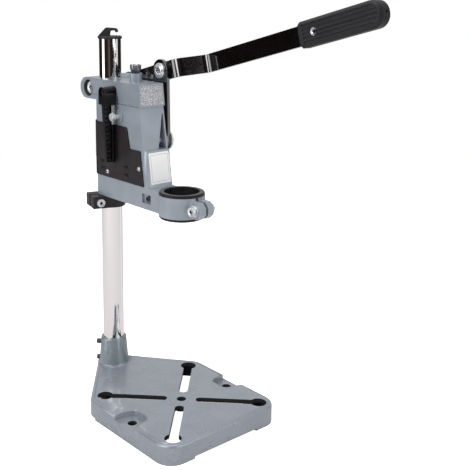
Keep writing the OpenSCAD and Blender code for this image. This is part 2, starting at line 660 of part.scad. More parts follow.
/* Cover */
cover_front_share = 0.48;
module cover2d(inset) {
    z0 = arm_z + cover_low + inset;
    z1 = arm_z + cover_top - inset;
    zm = ledge_z - edge_c - inset;
    s = cover_step - throat - inset;
    x = cover_edge_x - inset;
    polygon(rounded([[-throat, z0], [x + label_slant, z0], [x, zm],
        [s + step_lean, zm], [s, z1], [-throat, z1]], [0, edge_c, edge_c, edge_c, 3 * edge_c, 0]));
}
step_lean = 5.6;                 // how far the step's edge runs forward on its way down
arrow_l = 9;                     // small moulded arrow heads in the cover's face
arrow_h = 4.6;
arrow_deep = 0.6;
arrow_at = [[7.2, 42.2], [8, 34.1], [53.3, 42], [53.7, 33.1]];
module cavity_cover() color(BLACK) difference() {
    union() {
        side_plate(-body_half - cover_t, cover_t) cover2d(0);
        at_column() translate([0, 0, arm_z + cover_low]) difference() {
            cylinder(r = body_half + cover_t, h = cover_top - cover_low);
            translate([0, 0, -over]) cylinder(r = body_half, h = cover_top + over);
            translate([0, -2 * body_half, -over]) cube([2 * body_half, 4 * body_half, cover_top + over]);
        }
        translate([-throat, body_half, arm_z + cover_low]) cube([column_r, cover_t, cover_top - cover_low]);
    }
    for (p = cover_screw_at) along_y(p[0], -body_half - cover_t - over, p[1])
        cylinder(d = cover_screw_d, h = cover_t + 2 * over);
    for (p = arrow_at) side_plate(-body_half - cover_t - over, over + arrow_deep)
        translate([p[0] - throat, arm_z + p[1]])
            polygon([[-arrow_l / 2, 0], [arrow_l / 2, -arrow_h / 2], [arrow_l / 2, arrow_h / 2]]);
}
module cover_screws() color(STEEL) for (p = cover_screw_at)
    along_y(p[0], -body_half - cover_t, p[1]) mirror([0, 0, 1]) {
        difference() {
            cylinder(d1 = cover_screw_head, d2 = cover_screw_d, h = cover_screw_d / 2);
            for (a = [0, 90]) rotate(a) translate([-cover_screw_d / 2, -edge_c / 2, cover_screw_d / 4])
                cube([cover_screw_d, edge_c, cover_screw_d]);
        }
        translate([0, 0, -cover_screw_l - cover_t + edge_c]) cylinder(d = cover_screw_d,
            h = cover_screw_l + cover_t);
    }
module arm_set_screw() color(STEEL) along_y(-arm_screw_back, -body_half + arm_pocket_t, arm_z + arm_h / 2)
    mirror([0, 0, 1]) socket_screw(arm_screw_d, arm_screw_head, arm_pocket_t - edge_c, arm_h / 3,
        arm_screw_d * 0.7);

/* Collar */
bush_gap = 0.4;                  // gap between the two bushes
bush_slit = 1.2;                 // slit that lets a bush close on the neck
bush_turn = 180;                 // direction of that slit
flange_r = collar_big_d / 2 + 2.9;
module bush(low) {
    z = arm_z + collar_inset;
    h = arm_h / 2 - collar_inset - bush_gap / 2;
    translate([0, 0, 2 * z * low + (arm_h - 2 * collar_inset) * low]) mirror([0, 0, low]) difference() {
        union() {
            translate([0, 0, z + h + bush_gap]) cylinder(r = collar_big_d / 2, h = h);
            translate([0, 0, z + 2 * h + bush_gap]) cylinder(r = flange_r, h = flange_t - edge_c);
            translate([0, 0, z + 2 * h + bush_gap]) cylinder(r = flange_r - edge_c, h = flange_t);
        }
        translate([0, 0, z]) cylinder(d = collar_d, h = 2 * arm_h);
        rotate(bush_turn) translate([0, -bush_slit / 2, z]) cube([2 * collar_d, bush_slit, 2 * arm_h]);
    }
}
module collar_bush_upper() color(BLACK) bush(0);
module collar_bush_lower() color(BLACK) bush(1);
clamp_head_d = 10;
clamp_head_h = 4.5;
clamp_washer_d = 12.5;
clamp_washer_t = 1.4;
module collar_clamp_screw() color(STEEL)
    along_y(lug_x, -lug_half - clamp_washer_t, arm_z + arm_h / 2) mirror([0, 0, 1])
        socket_screw(clamp_d, clamp_head_d, clamp_head_h,
            2 * lug_half + clamp_washer_t + clamp_d + over, clamp_d * 0.6);
module collar_clamp_washer() color(STEEL) along_y(lug_x, -lug_half - clamp_washer_t, arm_z + arm_h / 2)
    difference() {
        cylinder(d = clamp_washer_d, h = clamp_washer_t);
        translate([0, 0, -over]) cylinder(d = clamp_d, h = clamp_washer_t + 2 * over);
    }
module collar_clamp_nut() color(STEEL) along_y(lug_x, lug_half, arm_z + arm_h / 2)
    nut(clamp_d, clamp_head_d, clamp_d * 0.8);

/* Stop ring */
ring_z = arm_z - seam - ring_h;
ring_turn = 254;                 // direction of the ring's block
module ring_place() at_column() translate([0, 0, ring_z]) rotate(ring_turn) children();
module stop_ring() color(BLACK) ring_place() difference() {
    union() {
        cylinder(d = ring_d, h = ring_h);
        linear_extrude(ring_h) polygon(rounded([[0, -ring_block_w / 2], [ring_block_l, -ring_block_w / 2],
            [ring_block_l, ring_block_w / 2], [0, ring_block_w / 2]], [0, edge_c, edge_c, 0]));
    }
    translate([0, 0, -over]) cylinder(r = bore_r, h = ring_h + 2 * over);
    translate([0, -slit_w / 2, -over]) cube([2 * ring_block_l, slit_w, ring_h + 2 * over]);
    translate([ring_screw_l, 0, ring_h / 2]) rotate([90, 0, 0])
        cylinder(d = ring_screw_d, h = 2 * ring_block_w, center = true);
    translate([ring_screw_l, -ring_block_w / 2, ring_h / 2]) rotate([90, 0, 0])
        translate([0, 0, -ring_nut_h / 2]) rotate(30) hex_prism(ring_nut_flat + pass, ring_nut_h);
}
ring_nut_h = 4;
ring_nut_flat = 8;
ring_head_d = 9.4;
module stop_ring_screw() color(STEEL) ring_place() translate([ring_screw_l, ring_block_w / 2, ring_h / 2])
    rotate([-90, 0, 0]) socket_screw(ring_screw_d, ring_head_d, ring_screw_d * 0.6, ring_block_w,
        ring_screw_d * 0.6);
module stop_ring_nut() color(STEEL) ring_place() translate([ring_screw_l, -ring_block_w / 2, ring_h / 2])
    rotate([90, 0, 0]) translate([0, 0, -ring_nut_h / 2]) rotate(30) nut(ring_screw_d, ring_nut_flat,
        ring_nut_h);

/* Depth stop */
sleeve_end = -body_half - sleeve_l;
block_z = sleeve_z - sleeve_d / 2 - 2 * stop_rod_d;
fin_low = head_top - fin_l;
fin_top_w = 10;                  // width of the fin at its top
fin_low_w = 9.5;                 // width of the fin at its foot
rod_clear = 2.2;                 // room between the cover and the stop rod
stop_rod_x = lock_x - lock_d / 2 - stop_rod_d / 2 - edge_c / 2;
stop_rod_y = -body_half - cover_t - rod_clear - stop_rod_d / 2;
fin_x = stop_rod_x - stop_rod_d / 2 - pass - fin_t;
block_front = stop_rod_x + stop_rod_d / 2 + edge_c;
block_y = stop_rod_y + stop_rod_d / 2 + pass;
stop_screw_sink = 5;             // depth of the sleeve's hollow end
module depth_stop() color(BLACK) difference() {
    union() {
        along_y(sleeve_at, sleeve_end, sleeve_z) cylinder(d = sleeve_d, h = sleeve_l);
        translate([sleeve_at - sleeve_d / 2, sleeve_end, block_z])
            cube([block_front - sleeve_at + sleeve_d / 2, block_y - sleeve_end, sleeve_z - block_z]);
        translate([fin_x, 0, 0]) rotate([90, 0, 90]) linear_extrude(fin_t) polygon([
            [sleeve_end, sleeve_z], [sleeve_end, block_z], [block_y - fin_low_w, fin_low],
            [block_y, fin_low], [block_y, sleeve_z]]);
    }
    along_y(sleeve_at, sleeve_end - over, sleeve_z) {
        cylinder(d = stop_screw_d, h = sleeve_l + 2 * over);
        cylinder(d = sleeve_d - 3 * edge_c, h = stop_screw_sink + over);
    }
    translate([stop_rod_x, stop_rod_y, block_z - over]) cylinder(d = stop_rod_d, h = 2 * stop_rod_d + over);
    // rounded front corner of the block towards the sleeve
    translate([block_front, sleeve_end - over, sleeve_z]) rotate([-90, 0, 0])
        linear_extrude(sleeve_l + over) difference() {
            translate([-sleeve_d / 2, -over]) square([sleeve_d, sleeve_d / 2 + over]);
            translate([-sleeve_d / 2, sleeve_d / 2]) circle(sleeve_d / 2);
        }
}
module depth_rod() color(STEEL) translate([stop_rod_x, stop_rod_y, fin_low])
    cylinder(d = stop_rod_d, h = block_z + 2 * stop_rod_d - fin_low);
module depth_stop_screw() color(STEEL) along_y(sleeve_at, sleeve_end + stop_screw_sink, sleeve_z)
    mirror([0, 0, 1]) socket_screw(stop_screw_d, sleeve_d - 4 * edge_c, stop_screw_sink / 2,
        sleeve_l - stop_screw_sink + stop_screw_deep - edge_c, stop_screw_d * 0.6);
lock_head_h = 3.6;
lock_y = stop_rod_y - stop_rod_d / 2 - pass;
module lock_screw() color(STEEL) along_y(lock_x, lock_y, lock_z) mirror([0, 0, 1]) {
    socket_screw(lock_d - 2 * fit_c, lock_head_d, lock_head_h, brow_t - edge_c - body_half - lock_y,
        lock_d * 0.6);
}

/* Lever */
// The lever is drawn level, with its pivot at the origin, and then placed
module lever_place() translate([hub_x, 0, hub_z]) rotate([0, -lever_rise, 0]) children();
bar_mid = lever_y + bar_t / 2;
bend_b = bend_a + bend_run;
far_y = bar_mid + bend_step;
grip_cover = 9;                  // plastic past the bar's end
bar_end = grip_from + grip_l - grip_cover;
bend_in_r = 8;
function side_pts(s) = let (h = s * bar_t / 2, a = atan2(bend_step, bend_run), k = tan(a / 2) * h)
    [[0, bar_mid + h], [bend_a - k, bar_mid + h], [bend_b - k, far_y + h], [bar_end, far_y + h]];
module lever_bar() color(BLACK) lever_place() difference() {
    union() {
        l = side_pts(1);
        r = side_pts(-1);
        o = bend_in_r + bar_t;
        translate([0, 0, -bar_h / 2]) linear_extrude(bar_h) polygon(rounded(
            [r[0], r[1], r[2], r[3], l[3], l[2], l[1], l[0]],
            [0, o, bend_in_r, 0, 0, o, bend_in_r, 0]));
        along_y(0, lever_y, 0) cylinder(r = eye_r, h = bar_t);
    }
    along_y(0, 0, 0) cylinder(r = pin_d / 2 + fit_c, h = 2 * lever_y);
    along_y(crank, 0, crank_up) cylinder(d = pin_d, h = 2 * lever_y);
    along_y(grip_from + grip_screw_in, 0, 0) cylinder(d = grip_screw_d, h = 2 * far_y);
}
grip_screw_in = 19;
grip_screw_d = 5;
grip_round = 3;
groove_n = 5;
groove_w = 1.6;
groove_t = 0.9;
groove_in = 6;                   // plain strip before and after the grooves
grip_corner = 1.2;
grip_hole_d = 2.4;
module grip2d(inset) polygon(rounded([[grip_from, -grip_h / 2 + inset],
    [grip_from + grip_l - inset, -grip_h / 2 + inset],
    [grip_from + grip_l - inset, grip_h / 2 - inset], [grip_from, grip_h / 2 - inset]],
    [grip_corner, grip_h / 2 - inset - over / 4, grip_h / 2 - inset - over / 4, grip_corner]));
function groove_z(i) = (i + 0.5 - groove_n / 2) * (grip_h - 2 * grip_round) / groove_n;
// A groove ends a plain strip before the rounded end of the grip
function groove_l(i) = grip_l - grip_h / 2 - groove_in
    + sqrt(pow(grip_h / 2 - grip_round - groove_w, 2) - pow(groove_z(i), 2));
module lever_grip() color(BLACK) lever_place() difference() {
    hull() {
        side_plate(far_y - grip_t / 2 + grip_round, grip_t - 2 * grip_round) grip2d(0);
        side_plate(far_y - grip_t / 2, grip_t) grip2d(grip_round);
    }
    translate([grip_from - over, far_y - bar_t / 2, -bar_h / 2])
        cube([bar_end - grip_from + over, bar_t, bar_h]);
    for (i = [0:groove_n - 1], s = [-1, 1]) translate([0, far_y + s * grip_t / 2, 0])
        side_plate(-groove_t, 2 * groove_t) translate([grip_from + groove_in, groove_z(i)])
            slot2d([0, 0], [groove_l(i), 0], groove_w / 2);
    along_y(grip_from + grip_screw_in, 0, 0) cylinder(d = grip_screw_d, h = 2 * far_y);
    for (s = [0, 1]) along_y(grip_from + grip_screw_in,
        far_y - grip_t / 2 - over + s * (grip_t + 2 * over - grip_head_sink), 0)
        cylinder(d = grip_head_d + 2 * fit_c, h = grip_head_sink);
    translate([bar_end - over, far_y, 0]) rotate([0, 90, 0]) cylinder(d = grip_hole_d, h = 2 * grip_cover);
}
grip_head_d = 9;
grip_head_sink = 4.2;
module grip_screw() color(STEEL) lever_place()
    along_y(grip_from + grip_screw_in, far_y - grip_t / 2 + grip_head_sink - over, 0) mirror([0, 0, 1])
        socket_screw(grip_screw_d, grip_head_d, grip_head_sink - 2 * over,
            grip_t - 2 * grip_head_sink + 3 * over, grip_screw_d * 0.6);
big_washer_r = 10;
washer_t = 1.5;
pivot_head_h = 5;
pivot_flat = 13;
module lever_pivot_bolt() color(STEEL) lever_place() {
    y = lever_y + bar_t;
    along_y(0, y + fit_c, 0) cylinder(r = big_washer_r, h = washer_t);
    along_y(0, y + washer_t, 0) hex_prism(pivot_flat, pivot_head_h);
    along_y(0, bore_r + hub_wall, 0) cylinder(d = pin_d,
        h = y + washer_t + pivot_head_h / 2 - bore_r - hub_wall);
}

/* Link */
low_eye_r = link_w / 2 - 1;
module link_bar() color(BLACK) translate([link_top_x, 0, link_top_z]) rotate([0, -link_tilt,
    0]) difference() {
    side_plate(link_y, bar_t) {
        circle(link_w / 2);
        translate([0, -link_l]) circle(low_eye_r);
        polygon([[-link_w / 2, 0], [-low_eye_r, -link_l], [low_eye_r, -link_l], [link_w / 2, 0]]);
    }
    along_y(0, 0, 0) cylinder(r = pin_d / 2 + fit_c, h = 2 * link_y);
    side_plate(0, 2 * link_y) slot2d([-play_x, -link_l], [play_x, -link_l], pin_d / 2 + play_z);
}
link_head_d = 17;
module link_bolt() color(STEEL) {
    y = link_y - link_gap;
    along_y(link_top_x, y + link_gap / 2, link_top_z) cylinder(d = link_head_d, h = link_gap / 2 - fit_c);
    along_y(link_top_x, y, link_top_z) difference() {
        cylinder(d = link_head_d * 0.75, h = link_gap * 0.75);
        translate([0, 0, -over]) hex_prism(link_head_d / 3, link_gap / 2 + over);
    }
    along_y(link_top_x, y + link_gap / 2, link_top_z) cylinder(d = pin_d,
        h = lever_y + bar_t + pivot_head_h - y - link_gap / 2);
    along_y(link_top_x, lever_y + bar_t, link_top_z) rotate(30) hex_prism(pivot_flat, pivot_head_h);
}
low_washer_r = 11.5;
low_pin_d = pin_d;
module lower_pivot_bolt() color(STEEL) {
    y = link_y + bar_t + fit_c;
    along_y(low_pin_x, y, link_low_z) cylinder(r = low_washer_r, h = washer_t);
    along_y(low_pin_x, y + washer_t / 2, link_low_z) hex_prism(pivot_flat, pivot_head_h);
    along_y(low_pin_x, body_half - pin_deep, link_low_z) cylinder(d = low_pin_d,
        h = y - body_half + pin_deep + washer_t);
}

base_casting();
socket_set_screws();
column_tube();
column_cap();
head_block();
head_clamp_bolt();
head_clamp_nut();
guide_rod();
crown_nut();
spring_plate();
rod_nut();
return_spring();
carriage_casting();
cavity_cover();
cover_screws();
arm_set_screw();
collar_bush_upper();
collar_bush_lower();
collar_clamp_screw();
collar_clamp_washer();
collar_clamp_nut();
stop_ring();
stop_ring_screw();
stop_ring_nut();
depth_stop();
depth_rod();
depth_stop_screw();
lock_screw();
lever_bar();
lever_grip();
grip_screw();
lever_pivot_bolt();
link_bar();
link_bolt();
lower_pivot_bolt();
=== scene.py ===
import math

import bmesh
import bpy
from mathutils import Matrix, Quaternion, Vector
from mathutils.bvhtree import BVHTree
from mathutils.geometry import convex_hull_2d


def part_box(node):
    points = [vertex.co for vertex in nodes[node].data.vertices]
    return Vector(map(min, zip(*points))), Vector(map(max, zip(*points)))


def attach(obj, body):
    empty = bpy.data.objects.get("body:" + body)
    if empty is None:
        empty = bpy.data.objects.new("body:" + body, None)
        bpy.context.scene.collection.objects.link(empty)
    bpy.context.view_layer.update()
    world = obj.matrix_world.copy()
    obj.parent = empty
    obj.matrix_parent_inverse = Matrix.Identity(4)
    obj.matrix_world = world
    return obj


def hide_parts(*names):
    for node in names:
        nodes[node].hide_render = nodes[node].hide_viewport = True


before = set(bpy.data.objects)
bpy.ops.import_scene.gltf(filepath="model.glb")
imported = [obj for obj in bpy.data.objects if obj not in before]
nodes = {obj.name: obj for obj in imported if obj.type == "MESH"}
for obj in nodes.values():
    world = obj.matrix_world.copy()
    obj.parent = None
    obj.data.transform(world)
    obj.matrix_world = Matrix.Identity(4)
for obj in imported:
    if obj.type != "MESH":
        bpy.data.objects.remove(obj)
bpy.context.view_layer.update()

MM = 0.001

# Sockets of the Mix node by number, because its colours and values share their names
MIX_FACTOR = 0
VALUE_SOCKETS = (2, 3)
COLOUR_SOCKETS = (6, 7)
MIXED_VALUE = 0
MIXED_COLOUR = 2


def corners(node):
    # The lowest and the highest corner of a node, in millimetres
    low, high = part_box(node)
    return Vector(low) / MM, Vector(high) / MM


# Shader helpers

def step(tree, socket, low, high):
    # Runs from 0 at low to 1 at high
    node = tree.nodes.new("ShaderNodeMapRange")
    node.inputs["From Min"].default_value = low
    node.inputs["From Max"].default_value = high
    tree.links.new(socket, node.inputs["Value"])
    return node.outputs[0]


def product(tree, a, b):
    node = tree.nodes.new("ShaderNodeMath")
    node.operation = "MULTIPLY"
    tree.links.new(a, node.inputs[0])
    tree.links.new(b, node.inputs[1])
    return node.outputs[0]


def reach(tree, vector, way):
    # How far a vector reaches in the direction way
    node = tree.nodes.new("ShaderNodeVectorMath")
    node.operation = "DOT_PRODUCT"
    node.inputs[1].default_value = way
    tree.links.new(vector, node.inputs[0])
    return node.outputs["Value"]


def feed(tree, source, socket):
    # A source is another node's socket or a constant
    if isinstance(source, bpy.types.NodeSocket):
        tree.links.new(source, socket)
    else:
        socket.default_value = source


def mixed(tree, factor, first, second, kind="RGBA"):
    # The first colour or value at a factor of 0, the second at 1
    node = tree.nodes.new("ShaderNodeMix")
    node.data_type = kind
    a, b = COLOUR_SOCKETS if kind == "RGBA" else VALUE_SOCKETS
    tree.links.new(factor, node.inputs[MIX_FACTOR])
    feed(tree, first, node.inputs[a])
    feed(tree, second, node.inputs[b])
    return node.outputs[MIXED_COLOUR if kind == "RGBA" else MIXED_VALUE]


def split_place(tree, output):
    # One output of Texture Coordinate, and its X, Y and Z
    coord = tree.nodes.new("ShaderNodeTexCoord")
    parts = tree.nodes.new("ShaderNodeSeparateXYZ")
    tree.links.new(coord.outputs[output], parts.inputs[0])
    return coord.outputs[output], parts.outputs


def box_mask(tree, low, high, soft=0.3):
    # 1 inside a box given in millimetres, 0 outside it; None leaves a side open
    _, place = split_place(tree, "Object")
    mask = None
    for axis, a, b in zip("XYZ", low, high):
        for side, sign in ((a, 1), (b, -1)):
            if side is None:
                continue
            edge = step(tree, place[axis], (side - sign * soft) * MM, (side + sign * soft) * MM)
            mask = edge if mask is None else product(tree, mask, edge)
    return mask


# Camera

IMAGE_SIDE = 470.0
FOCAL_PX = 862.918
# Where the camera's axis meets the picture: less far from its middle than in the exact fit,
# so that the head and the lever stay in the picture from other sides
CENTRE_PX = (195.0, 152.0)
CAMERA_PLACE = (687.859, -564.638, 477.217)
HEADING, PITCH, ROLL = 2.4389, -0.1942, 0.0055
SENSOR_WIDTH = 36.0
FAR_END = 50.0


def set_camera():
    data = bpy.data.cameras.new("photo_camera")
    data.sensor_width = SENSOR_WIDTH
    data.lens = FOCAL_PX / IMAGE_SIDE * SENSOR_WIDTH
    data.shift_x = (IMAGE_SIDE / 2 - CENTRE_PX[0]) / IMAGE_SIDE
    data.shift_y = (CENTRE_PX[1] - IMAGE_SIDE / 2) / IMAGE_SIDE
    data.clip_end = FAR_END
    camera = bpy.data.objects.new("photo_camera", data)
    camera.location = Vector(CAMERA_PLACE) * MM
    level = math.cos(PITCH)
    look = Vector((math.cos(HEADING) * level, math.sin(HEADING) * level, math.sin(PITCH)))
    turn = look.to_track_quat("-Z", "Y") @ Quaternion((0, 0, 1), ROLL)
    camera.rotation_euler = turn.to_euler()
    bpy.context.scene.collection.objects.link(camera)
    bpy.context.scene.camera = camera


# Light, in metres and watts

SOFTBOXES = {
    "key_softbox": {"place": (0.2, -1.9, 1.3), "aim": (-0.05, 0, 0.25), "size": (1.3, 1.3), "power": 26},
    "front_fill": {"place": (1.9, 0.4, 0.9), "aim": (-0.05, 0, 0.22), "size": (1.2, 1.4), "power": 11.5},
    "top_softbox": {"place": (-0.2, 0.2, 2.2), "aim": (0, 0, 0.2), "size": (1.6, 1.6), "power": 17},
}
PURE_WHITE = (1, 1, 1, 1)
SEEN_STRENGTH = 1.0
SOFT_LIGHT = (0.98, 0.99, 1.0, 1)
SOFT_STRENGTH = 0.55
ROOM_STRENGTH = 1.0

# The room that polished metal mirrors: its walls by their share of the way round
DARK_WALL = (0.018, 0.012, 0.011, 1)
BROWN_WALL = (0.12, 0.09, 0.075, 1)
WHITE_STRIP = (0.95, 0.95, 0.95, 1)
BRIGHT_STRIP = (2.6, 2.6, 2.6, 1)
WALLS = (
    (0.0, DARK_WALL), (0.150, DARK_WALL), (0.165, BRIGHT_STRIP), (0.215, BRIGHT_STRIP),
    (0.235, DARK_WALL), (0.33, DARK_WALL), (0.375, BROWN_WALL), (0.42, DARK_WALL),
    (0.525, DARK_WALL), (0.54, WHITE_STRIP), (0.635, WHITE_STRIP), (0.655, DARK_WALL),
    (0.90, DARK_WALL), (0.92, BROWN_WALL), (0.98, BROWN_WALL), (1.0, DARK_WALL),
)
CEILING = (0.55, 0.55, 0.56, 1)
CEILING_FROM, CEILING_TO = 0.35, 0.75
BACKDROP = (0.8, 0.8, 0.8, 1)
BACKDROP_WAY = (-0.777, 0.629, 0)
BACKDROP_SIDE_FROM, BACKDROP_SIDE_TO = 0.35, 0.65
BACKDROP_FOOT_FROM, BACKDROP_FOOT_TO = 0.04, 0.16


def add_softbox(name, place, aim, size, power):
    data = bpy.data.lights.new(name, "AREA")
    data.shape = "RECTANGLE"
    data.size, data.size_y = size
    data.energy = power
    lamp = bpy.data.objects.new(name, data)
    lamp.location = place
    lamp.rotation_euler = (Vector(aim) - Vector(place)).to_track_quat("-Z", "Y").to_euler()
    bpy.context.scene.collection.objects.link(lamp)


def add_background(tree, colour, strength):
    node = tree.nodes.new("ShaderNodeBackground")
    feed(tree, colour, node.inputs["Color"])
    node.inputs["Strength"].default_value = strength
    return node.outputs[0]


def choose(tree, factor, first, second):
    # The first shader at a factor of 0, the second at 1
    node = tree.nodes.new("ShaderNodeMixShader")
    for place, socket in enumerate((factor, first, second)):
        tree.links.new(socket, node.inputs[place])
    return node.outputs[0]


def paint_walls(tree, place):
    # Dark and brown walls with white strips, chosen by the direction seen from above
    turn = tree.nodes.new("ShaderNodeMath")
    turn.operation = "ARCTAN2"
    tree.links.new(place["Y"], turn.inputs[0])
    tree.links.new(place["X"], turn.inputs[1])
    ramp = tree.nodes.new("ShaderNodeValToRGB")
    # A new ramp has its first and its last mark
    marks = ramp.color_ramp.elements
    for share, _ in WALLS[1:-1]:
        marks.new(share)
    for mark, (_, colour) in zip(marks, WALLS):
        mark.color = colour
    tree.links.new(step(tree, turn.outputs[0], -math.pi, math.pi), ramp.inputs[0])
    return ramp.outputs[0]


def paint_room(tree):
    # The walls end above the horizon at a pale ceiling. Upward faces of the stand mirror a
    # white backdrop behind it, which starts a little above the floor
    way, place = split_place(tree, "Generated")
    rise = step(tree, place["Z"], CEILING_FROM, CEILING_TO)
    room = mixed(tree, rise, paint_walls(tree, place), CEILING)
    behind = step(tree, reach(tree, way, BACKDROP_WAY), BACKDROP_SIDE_FROM, BACKDROP_SIDE_TO)
    above = step(tree, place["Z"], BACKDROP_FOOT_FROM, BACKDROP_FOOT_TO)
    return mixed(tree, product(tree, behind, above), room, BACKDROP)


def light_studio():
    # A large key from the left, a fill from the right and a softbox from above
    for name, facts in SOFTBOXES.items():
        add_softbox(name, **facts)
    world = bpy.data.worlds.new("studio")
    bpy.context.scene.world = world
    world.use_nodes = True
    tree = world.node_tree
    tree.nodes.clear()
    # The camera sees white, metal mirrors the room, and the rest is lit softly
    seen = add_background(tree, PURE_WHITE, SEEN_STRENGTH)
    soft = add_background(tree, SOFT_LIGHT, SOFT_STRENGTH)
    room = add_background(tree, paint_room(tree), ROOM_STRENGTH)
    path = tree.nodes.new("ShaderNodeLightPath").outputs
    lit = choose(tree, path["Is Glossy Ray"], soft, room)
    out = tree.nodes.new("ShaderNodeOutputWorld")
    tree.links.new(choose(tree, path["Is Camera Ray"], lit, seen), out.inputs["Surface"])


# Floor, in metres

FLOOR_RADIUS = 1.5
FLOOR_SIDES = 96
FLOOR_DROP = 0.0002
FLOOR_WHITE = (0.9, 0.9, 0.9, 1)
FLOOR_PINK = (0.70, 0.665, 0.655, 1)
FLOOR_GLOW = 0.92
# The white sector opens from the column, which stands this far back, between two edges
COLUMN_BACK = (0.13, 0, 0)
SECTOR_WAYS = ((-0.88, 0.47, 0), (0.98, -0.17, 0))
SECTOR_SOFT = 0.05
# Shade under the base's tail, in millimetres
SHADE_LOW, SHADE_HIGH = (-101.5, -45, None), (-80, -24, None)
SHADE_SOFT = 2.0


def white_sector(tree):
    coord = tree.nodes.new("ShaderNodeTexCoord")
    moved = tree.nodes.new("ShaderNodeVectorMath")
    moved.inputs[1].default_value = COLUMN_BACK
    tree.links.new(coord.outputs["Object"], moved.inputs[0])
    edges = [step(tree, reach(tree, moved.outputs[0], way), 0, SECTOR_SOFT) for way in SECTOR_WAYS]
    return product(tree, *edges)


def floor_finish():
    # Metal mirrors the floor a little pink, with one white sector to the right of the column.
    # The camera sees it white, apart from the shade under the base's tail
    material = bpy.data.materials.new("pale_floor")
    material.use_nodes = True
    tree = material.node_tree
    tree.nodes.clear()
    path = tree.nodes.new("ShaderNodeLightPath").outputs
    tone = mixed(tree, white_sector(tree), FLOOR_PINK, FLOOR_WHITE)
    matt = tree.nodes.new("ShaderNodeBsdfDiffuse")
    feed(tree, mixed(tree, path["Is Glossy Ray"], FLOOR_WHITE, tone), matt.inputs["Color"])
    lift = tree.nodes.new("ShaderNodeMath")
    lift.operation = "MULTIPLY_ADD"
    lift.inputs[1].default_value = -FLOOR_GLOW
    lift.inputs[2].default_value = FLOOR_GLOW
    tree.links.new(box_mask(tree, SHADE_LOW, SHADE_HIGH, soft=SHADE_SOFT), lift.inputs[0])
    glow = tree.nodes.new("ShaderNodeEmission")
    glow.inputs["Color"].default_value = PURE_WHITE
    feed(tree, product(tree, lift.outputs[0], path["Is Camera Ray"]), glow.inputs["Strength"])
    both = tree.nodes.new("ShaderNodeAddShader")
    tree.links.new(matt.outputs[0], both.inputs[0])
    tree.links.new(glow.outputs[0], both.inputs[1])
    out = tree.nodes.new("ShaderNodeOutputMaterial")
    tree.links.new(both.outputs[0], out.inputs["Surface"])
    return material


def lay_floor():
    shape = bmesh.new()
    bmesh.ops.create_circle(shape, cap_ends=True, segments=FLOOR_SIDES, radius=FLOOR_RADIUS)
    mesh = bpy.data.meshes.new("bench_floor")
    shape.to_mesh(mesh)
    shape.free()
    mesh.materials.append(floor_finish())
    floor = bpy.data.objects.new("bench_floor", mesh)
    floor.location = (0, 0, -FLOOR_DROP)
    bpy.context.scene.collection.objects.link(floor)


# Shared effects

FINE_DETAIL, COARSE_DETAIL = 3.0, 4.0
COARSE_SHARE = 0.35
PATCH_LOW, PATCH_HIGH = 0.32, 0.68
COAT_ROUGHNESS = 0.08


def new_group(name, sockets_in, sockets_out):
    group = bpy.data.node_groups.new(name, "ShaderNodeTree")
    for label, kind, value in sockets_in:
        socket = group.interface.new_socket(label, in_out="INPUT", socket_type=kind)
        if value is not None:
            socket.default_value = value
    for label, kind in sockets_out:
        group.interface.new_socket(label, in_out="OUTPUT", socket_type=kind)
    return group, group.nodes.new("NodeGroupInput").outputs, group.nodes.new("NodeGroupOutput").inputs


def make_grain_group():
    # Fine orange peel of paint and casting skin: a height and a patchy mask
    group, given, gives = new_group(
        "cast_grain",
        [("Vector", "NodeSocketVector", None), ("Fine", "NodeSocketFloat", 900.0),
         ("Coarse", "NodeSocketFloat", 60.0)],
        [("Height", "NodeSocketFloat"), ("Patches", "NodeSocketFloat")])
    link = group.links.new
    noises = {}
    for scale, detail in (("Fine", FINE_DETAIL), ("Coarse", COARSE_DETAIL)):
        noise = group.nodes.new("ShaderNodeTexNoise")
        noise.inputs["Detail"].default_value = detail
        link(given["Vector"], noise.inputs["Vector"])
        link(given[scale], noise.inputs["Scale"])
        noises[scale] = noise.outputs["Fac"]
    height = group.nodes.new("ShaderNodeMath")
    height.operation = "MULTIPLY_ADD"
    height.inputs[1].default_value = COARSE_SHARE
    link(noises["Coarse"], height.inputs[0])
    link(noises["Fine"], height.inputs[2])
    link(height.outputs[0], gives["Height"])
    link(noises["Coarse"], gives["Patches"])
    return group


def make_tones_group():
    # Two tones of one colour and two of gloss, mixed by a mask
    group, given, gives = new_group(
        "two_tones",
        [("Mask", "NodeSocketFloat", 0.5), ("Dark", "NodeSocketColor", (0.1, 0.1, 0.1, 1)),
         ("Light", "NodeSocketColor", (0.2, 0.2, 0.2, 1)), ("Smooth", "NodeSocketFloat", 0.3),
         ("Rough", "NodeSocketFloat", 0.5)],
        [("Color", "NodeSocketColor"), ("Roughness", "NodeSocketFloat")])
    spread = step(group, given["Mask"], PATCH_LOW, PATCH_HIGH)
    group.links.new(mixed(group, spread, given["Dark"], given["Light"]), gives["Color"])
    gloss = mixed(group, spread, given["Smooth"], given["Rough"], kind="FLOAT")
    group.links.new(gloss, gives["Roughness"])
    return group


GRAIN = make_grain_group()
TONES = make_tones_group()


def shader_of(material):
    return material.node_tree.nodes["Principled BSDF"]


